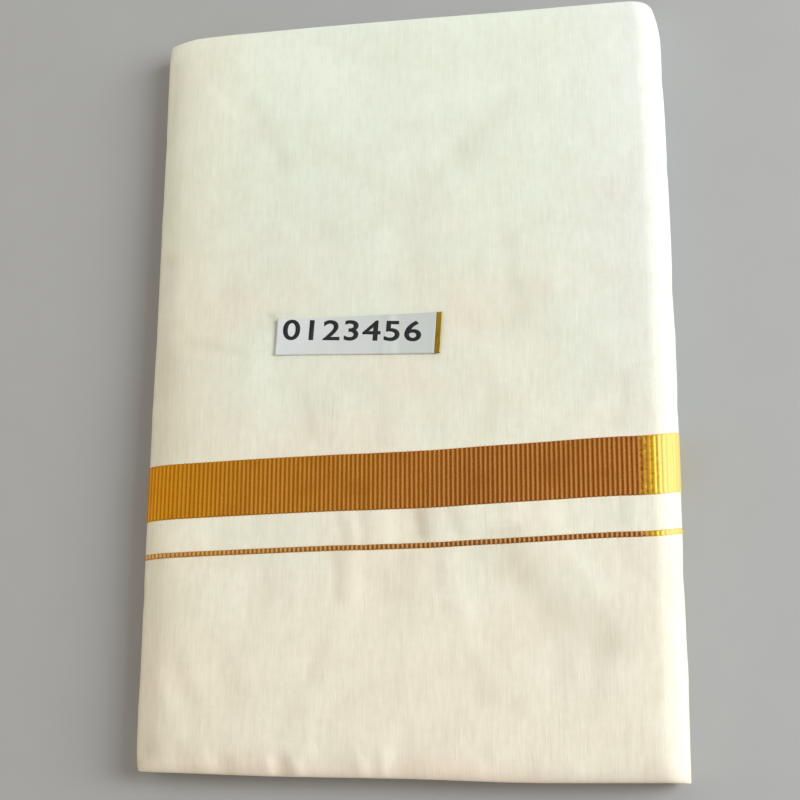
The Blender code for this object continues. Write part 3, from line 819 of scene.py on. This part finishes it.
def inner_layers():
    """The strips inside the pack: one rounded solid, a folded edge for each strip at both ends."""
    strips = len(STRIP_SETBACKS)
    levels = np.concatenate([(index + np.array(LOOP_SHARES)) / strips for index in range(strips)] + [[1.0]])
    strip = np.minimum((levels * strips + 1e-6).astype(int), strips - 1)
    setback = np.array(STRIP_SETBACKS)[strip] * MM + loop_setback(levels * strips - strip) + SHARED_SETBACK
    near_rows, far_rows = -(HALF_LENGTH - setback) + NEAR_END_SETBACK, HALF_LENGTH - setback
    ends = [strip_rows(rows, levels, strip, end) for rows, end in ((near_rows, -1), (far_rows, 1))]
    stations = np.linspace(-HALF_LENGTH + 5 * MM, HALF_LENGTH - 5 * MM, INNER_ROWS)
    outline = strip_rows(stations, 0 * stations)
    sides = np.array([strip_rows(stations, 0 * stations + level)[:, [0, -1]] for level in levels[1:]])
    upper, lower = sides[:, :, 1].transpose(1, 0, 2), sides[-2::-1, :, 0].transpose(1, 0, 2)
    body = np.concatenate((outline, upper, lower), axis=1)
    points = np.concatenate((ends[0].reshape(-1, 3), ends[1].reshape(-1, 3), body.reshape(-1, 3)))
    size = ends[0].shape[0] * ends[0].shape[1]
    faces = []

    def quads(numbers, closed=False):
        after = np.roll(numbers, -1, axis=1) if closed else numbers[:, 1:]
        here = numbers if closed else numbers[:, :-1]
        faces.extend(np.stack((here[:-1], after[:-1], after[1:], here[1:]), axis=-1).reshape(-1, 4).tolist())

    rings = []
    for start in (0, size):
        numbers = start + np.arange(size).reshape(ends[0].shape[:2])
        quads(numbers)
        rings.append(np.concatenate((numbers[0], numbers[1:, -1], numbers[-2:0:-1, 0])))
    inside = 2 * size + np.arange(body.shape[0] * body.shape[1]).reshape(body.shape[:2])
    quads(np.concatenate((rings[0][None], inside, rings[1][None])), closed=True)
    mesh = bpy.data.meshes.new("inner_layers")
    mesh.from_pydata(points.tolist(), [], faces)
    shape = bmesh.new()
    shape.from_mesh(mesh)
    bmesh.ops.remove_doubles(shape, verts=shape.verts, dist=0.003 * MM)
    layer = shape.loops.layers.uv.new("cloth")
    for face in shape.faces:
        for corner in face.loops:
            place = corner.vert.co
            corner[layer].uv = (place.x + place.z, place.y + place.z * 0.3)
    shape.to_mesh(mesh)
    shape.free()
    return tidy_object("inner_layers", mesh)


def rib_tree():
    """Raises woven ribs on a strip that carries its path length and how ribbed it is."""
    tree = bpy.data.node_groups.new("woven ribs", "GeometryNodeTree")
    sizes = (("Rib pitch", RIB_PITCH), ("Rib height", RIB_HEIGHT), ("Crest sharpness", RIB_SHARPNESS),
             ("Edge step", RIB_EDGE_STEP))
    tree.interface.new_socket("Geometry", in_out="INPUT", socket_type="NodeSocketGeometry")
    for title, value in sizes:
        tree.interface.new_socket(title, in_out="INPUT", socket_type="NodeSocketFloat").default_value = value
    tree.interface.new_socket("Finish", in_out="INPUT", socket_type="NodeSocketMaterial")
    tree.interface.new_socket("Geometry", in_out="OUTPUT", socket_type="NodeSocketGeometry")
    nodes = Nodes(tree)
    given = nodes.add("NodeGroupInput")
    path, ribbed, edge = (
        nodes.add("GeometryNodeInputNamedAttribute", {"data_type": "FLOAT"}, {"Name": title})
        for title in ("path", "ribbed", "edge"))
    rib = (path * math.pi / given.other("Rib pitch")).sine().size() ** given.other("Crest sharpness")
    raised = rib * ribbed * given.other("Rib height")
    normal = nodes.add("GeometryNodeInputNormal")
    lift = nodes.add("ShaderNodeVectorMath", {"operation": "SCALE"}, {0: normal, "Scale": raised})
    step = nodes.add("ShaderNodeCombineXYZ", {}, {"Y": rib * edge * given.other("Edge step")})
    offset = nodes.add("ShaderNodeVectorMath", {"operation": "ADD"}, {0: lift, 1: step})
    moved = nodes.add("GeometryNodeSetPosition", {}, {"Geometry": given, "Offset": offset})
    plain = nodes.add("GeometryNodeRealizeInstances", {}, {"Geometry": moved})
    done = nodes.add("GeometryNodeSetMaterial", {}, {"Geometry": plain, "Material": given.other("Finish")})
    nodes.add("NodeGroupOutput", {}, {"Geometry": done})
    return tree


def grown(piece, tree, **inputs):
    """Runs a geometry tree on a piece and keeps its result as the piece's plain mesh."""
    modifier = piece.modifiers.new(tree.name, "NODES")
    modifier.node_group = tree
    for item in tree.interface.items_tree:
        title = item.name.replace(" ", "_")
        if item.in_out == "INPUT" and title in inputs:
            modifier[item.identifier] = inputs[title]
    result = plain_mesh(piece)
    piece.modifiers.remove(modifier)
    piece.data = result


def ribbed_strip(name, near, far, material, tree, rows):
    """A woven metallic strip round the whole pack, its ribs on all but the underside."""
    under, front = columns_for(UNDER_STEP, RIBBED_STEP)
    margins = np.array((0.0, 0.2, 0.5)) * MM
    inside = np.linspace(near + 0.9 * MM, far - 0.9 * MM, rows)
    along = np.concatenate((near + margins, inside, far - margins[::-1]))
    rows = len(along)
    sunk = np.minimum(1, np.minimum(along - near, far - along) / (0.5 * MM))[:, None]
    path = cloth_surface(along[rows // 2:rows // 2 + 1], 0.0, under, front, FINE_TURN_STEPS)[0][0]
    travelled = path_lengths(path)
    start = travelled[FINE_TURN_STEPS + 1 + len(under) + RIBS_START_STEPS]
    ribs = int((travelled[-1] - start) / RIB_PITCH)
    first = travelled[-1] - ribs * RIB_PITCH
    fine = np.concatenate((travelled[travelled < first - 0.5 * MM],
                           np.linspace(first, travelled[-1], ribs * RIB_COLUMNS + 1)))

    def skin(lift):
        coarse = cloth_surface(along, 0.0, under, front, FINE_TURN_STEPS, lift)[0]
        rows_of_axes = [[np.interp(fine, travelled, row[:, axis]) for axis in range(3)] for row in coarse]
        return np.stack(rows_of_axes).transpose(0, 2, 1)

    outer, inner = skin((0.1 * sunk - 0.03) * MM), skin(-0.15 * MM)
    grid = np.concatenate((outer, inner[::-1]))
    spots = np.broadcast_to(fine, grid.shape[:2])
    sides = np.concatenate((along, along[::-1]))
    on = np.concatenate((sunk[:, 0], np.zeros(rows)))[:, None] * (spots >= first)
    edge = np.zeros(2 * rows)
    edge[[0, -1]], edge[[rows - 1, rows]] = -1.0, 1.0
    uvs = np.stack((spots - first, np.broadcast_to(sides[:, None], grid.shape[:2])), axis=-1)
    carried = {"path": spots - first, "ribbed": on.astype(float), "edge": edge[:, None] * (spots >= first)}
    strip = lofted(name, grid, uvs, attributes=carried)
    grown(strip, tree, Rib_pitch=RIB_PITCH, Rib_height=RIB_HEIGHT, Finish=material)
    return strip


def label_height(across_label, along_label):
    """Height of the label's paper over the front, where its corners and edges lift."""
    end_share = np.clip(np.abs(across_label) / (LABEL_SIZE[0] / 2), 0, 1.1)
    side_share = np.clip(np.abs(along_label) / (LABEL_SIZE[1] / 2), 0, 1.1)
    curl = 0.1 * MM * side_share ** 2 + 0.25 * MM * end_share ** 8
    from_corner = np.hypot(across_label + LABEL_SIZE[0] / 2, along_label - LABEL_SIZE[1] / 2)
    corner = np.clip(1 - from_corner / (16 * MM), 0, 1)
    creases = 0
    for place, lean, half_width, rise in LABEL_CREASE_ROWS:
        off = (across_label - place * MM - lean * along_label) / (half_width * MM)
        creases = creases + rise * MM * np.exp(-off ** 2)
    return 0.35 * MM + curl + 0.8 * MM * corner ** 2 + creases


def on_label(across_label, along_label, lift):
    """Points at places of the label, counted from its middle. It is a little wider at its right end."""
    outward = across_label / (LABEL_SIZE[0] / 2)
    along_label = along_label * (LABEL_EVEN_WIDTH + LABEL_TAPER * outward) + LABEL_TILT * outward
    across = LABEL_CENTRE[0] + across_label * math.cos(LABEL_TURN) - along_label * math.sin(LABEL_TURN)
    along = LABEL_CENTRE[1] + across_label * math.sin(LABEL_TURN) + along_label * math.cos(LABEL_TURN)
    height = thickness_at(along) + front_relief(across, along) + label_height(across_label, along_label)
    return placed(across, along, height + lift)


def label_sheet(name, start, end, thickness, lift=0.0):
    """A thin closed piece of the label between two places across it."""
    across = np.linspace(start, end, max(6, round((end - start) / LABEL_STEP)))
    along = np.linspace(-LABEL_SIZE[1] / 2, LABEL_SIZE[1] / 2, LABEL_ROWS)
    top, bottom = (on_label(across[None, :], along[:, None], lift + level) for level in (thickness, 0.0))
    return lofted(name, np.concatenate((top, bottom[::-1])))


def thicken_outline(shape, amount):
    """Moves the outline of a flat shape outwards by an amount."""
    pushes = {}
    for edge in shape.edges:
        if edge.is_boundary:
            start, end = (vert.co for vert in edge.verts)
            out = Vector((end.y - start.y, start.x - end.x, 0)).normalized()
            if out.dot(edge.link_faces[0].calc_center_median() - start) > 0:
                out.negate()
            for vert in edge.verts:
                pushes.setdefault(vert, []).append(out)
    for vert, ways in pushes.items():
        mean = sum(ways, Vector()).normalized()
        vert.co += mean * amount / max(0.6, mean.dot(ways[0]))


def printed_digits(name, start, width, cap, along_middle, slope):
    """Plain digits 0 to 6 in a row, lying on the label."""
    curve = bpy.data.curves.new(name, "FONT")
    curve.body = "0123456"
    curve.size, curve.resolution_u = 1.0, 6
    curve.space_character = 1.1
    holder = linked(name, curve)
    flat = plain_mesh(holder)
    bpy.data.objects.remove(holder)
    shape = bmesh.new()
    shape.from_mesh(flat)
    thicken_outline(shape, 0.017)
    spots = np.array([vert.co[:2] for vert in shape.verts])
    low, high = spots.min(axis=0), spots.max(axis=0)
    for vert in shape.verts:
        across = start + (vert.co.x - low[0]) / (high[0] - low[0]) * width
        level = ((vert.co.y - low[1]) / (high[1] - low[1]) - 0.5) * cap
        widening = LABEL_EVEN_WIDTH + LABEL_TAPER * across / (LABEL_SIZE[0] / 2)
        vert.co = (across, along_middle + slope * across + level / widening, 0)
    cuts_across = [((place, 0, 0), (1, 0, 0)) for place in np.arange(start, start + width, DIGIT_STEP)]
    cuts_along = [((0, place, 0), (0, 1, 0)) for place in np.arange(-9 * MM, 9 * MM, DIGIT_STEP)]
    for point, way in cuts_across + cuts_along:
        bmesh.ops.bisect_plane(shape, geom=shape.verts[:] + shape.edges[:] + shape.faces[:],
                               plane_co=point, plane_no=way)
    bmesh.ops.remove_doubles(shape, verts=shape.verts[:], dist=0.012 * MM)
    bmesh.ops.dissolve_degenerate(shape, edges=shape.edges[:], dist=0.005 * MM)
    spots = np.array([vert.co[:2] for vert in shape.verts])
    for vert, point in zip(shape.verts, on_label(spots[:, 0], spots[:, 1], 0.24 * MM)):
        vert.co = point
    grown_faces = bmesh.ops.extrude_face_region(shape, geom=shape.faces[:], use_keep_orig=True)
    for item in grown_faces["geom"]:
        if isinstance(item, bmesh.types.BMVert):
            item.co.z -= 0.05 * MM
    shape.verts.sort(key=lambda vert: vert.co.dot(SORT_WAY))
    shape.faces.sort(key=lambda face: face.calc_center_median().dot(SORT_WAY))
    shape.to_mesh(flat)
    shape.free()
    return tidy_object(name, flat)


def lamp(name, place, aim, size, power, colour):
    """A soft rectangular studio light."""
    light = bpy.data.lights.new(name, "AREA")
    light.shape, light.size, light.size_y = "RECTANGLE", size[0], size[1]
    light.energy, light.color = power, colour
    holder = linked(name, light)
    holder.location = place
    way = Vector(aim) - Vector(place)
    holder.rotation_euler = way.to_track_quat("-Z", "Y").to_euler()


def studio():
    """Pale floor, soft light and the photograph's camera."""
    bpy.ops.mesh.primitive_grid_add(x_subdivisions=4, y_subdivisions=4, size=8, location=(0, 0, 0))
    floor = bpy.context.object
    floor.name = "floor"
    for vert in floor.data.vertices:
        vert.co.z = -0.05 * MM
    floor.data.materials.append(floor_finish("studio floor"))
    world = bpy.data.worlds.new("studio")
    world.use_nodes = True
    background = world.node_tree.nodes["Background"].inputs
    background["Color"].default_value, background["Strength"].default_value = WORLD_COLOUR, WORLD_STRENGTH
    bpy.context.scene.world = world
    for row in LAMPS:
        lamp(*row)
    camera = linked("camera", bpy.data.cameras.new("camera"))
    camera.data.sensor_width = SENSOR_MM
    camera.data.lens = FOCAL_PIXELS * SENSOR_MM / PHOTO_PIXELS
    camera.data.clip_start, camera.data.clip_end = 0.01, 20
    camera.location = CAMERA_PLACE
    camera.rotation_euler = [math.radians(angle) for angle in CAMERA_TURNS]
    bpy.context.scene.camera = camera
    bpy.context.scene.view_settings.view_transform = "Standard"


def dress():
    """Makes every visible piece and ties it to the frame."""
    # Each cotton's second colour is its first with painted shade: warmer and darker, for the light falling
    # off towards the near end
    cotton = cotton_finish("ivory cotton", (0.832, 0.882, 0.79, 1), (0.872, 0.828, 0.7, 1))
    # The inner layers' cotton is a darker copy of the outer one: painted shade in the gaps between the layers
    inner = cotton_finish("inner cotton", (0.8, 0.78, 0.68, 1), (0.8, 0.74, 0.61, 1))
    zari, pale_zari = zari_finish("zari thread"), zari_finish("thin zari thread", 0.45)
    cloth, round_length = outer_cloth()
    layers = inner_layers()
    tree = rib_tree()
    band = ribbed_strip("zari_border", BAND_NEAR, BAND_FAR, zari, tree, BAND_ROWS)
    line = ribbed_strip("zari_thin_line", LINE_NEAR + 0.1 * MM, LINE_FAR - 0.1 * MM, pale_zari, tree,
                        LINE_ROWS)
    half = LABEL_SIZE[0] / 2
    paper = label_sheet("label_paper", -half, half, LABEL_PAPER_THICKNESS)
    foil = label_sheet("label_gold_strip", half - 0.3 * MM, half + STRIP_WIDTH, 0.22 * MM, 0.02 * MM)
    digits = printed_digits("label_digits", **DIGITS_ROW)
    for piece, material, nodes, slot in (
        (cloth, cotton, ("upper_cloth", "middle_cloth", "lower_cloth"), "cotton"),
        (layers, inner, ("folded_layers",), "inner_cotton"),
        (band, None, ("zari_band",), "zari"),
        (line, None, ("zari_line",), "zari"),
        (paper, paper_finish("label paper"), ("size_label",), "label_paper"),
        (foil, foil_finish("label foil"), ("label_strip",), "label_foil"),
        (digits, ink_finish("label ink"), (), "label_paper"),
    ):
        if material:
            piece.data.materials.append(material)
        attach(piece, "root")
        if nodes:
            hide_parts(*nodes)


dress()
studio()
